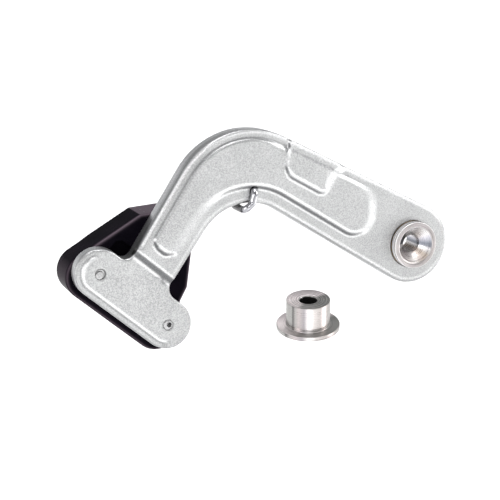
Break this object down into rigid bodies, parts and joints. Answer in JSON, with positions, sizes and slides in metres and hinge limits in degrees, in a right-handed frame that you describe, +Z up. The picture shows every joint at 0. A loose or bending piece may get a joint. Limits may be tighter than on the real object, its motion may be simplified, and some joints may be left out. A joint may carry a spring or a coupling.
{
  "type": "belt tensioner arm",
  "caption": "Sprung tensioner: cast boomerang arm on a countersunk pivot bush, sliding plastic shoe on its foot, torsion spring, loose flanged bush.",
  "frame": {"origin": "on the pivot axis, in the middle of the arm's thickness", "axes": "Y along the pivot axis with -Y out of the arm's front face, X from the bend towards the pivot end, +Z up"},
  "size_m": [0.142, 0.029, 0.0763],
  "materials": {
    "cast_aluminium": "blasted die casting, matt silver",
    "black_nylon": "moulded black nylon, slightly polished where the belt runs",
    "pin_steel": "zinc-plated steel",
    "turned_aluminium": "bright turned, fine tool rings",
    "sleeve_bronze": "sintered bronze",
    "washer_nylon": "natural nylon",
    "ring_steel": "phosphated spring steel",
    "spring_wire": "bright drawn spring wire"
  },
  "bodies": {
    "pivot": {"pivot_bush": "turned_aluminium", "thrust_washer": "washer_nylon", "retaining_ring": "ring_steel", "torsion_spring": "spring_wire"},
    "swing_arm": {"arm": "cast_aluminium", "bearing_sleeve": "sleeve_bronze", "shoe": "black_nylon", "shoe_pin_upper": "pin_steel", "shoe_pin_lower": "pin_steel", "rivet_washers": "pin_steel"},
    "loose_bush": {"flanged_bush": "turned_aluminium"}
  },
  "joints": [
    {"name": "arm_swing", "type": "hinge", "parent": "pivot", "child": "swing_arm", "pos_m": [0, 0, 0], "axis": [0, -1, 0], "range_deg": [-40, 12], "stiffness_Nm_per_rad": 2, "springref_deg": -1.66, "deforming": ["torsion_spring"]},
    {"name": "bush_lift", "type": "slide", "parent": "pivot", "child": "loose_bush", "axis": [-0.0858, -0.1737, 0.9811], "range_m": [0, 0.008]}
  ]
}
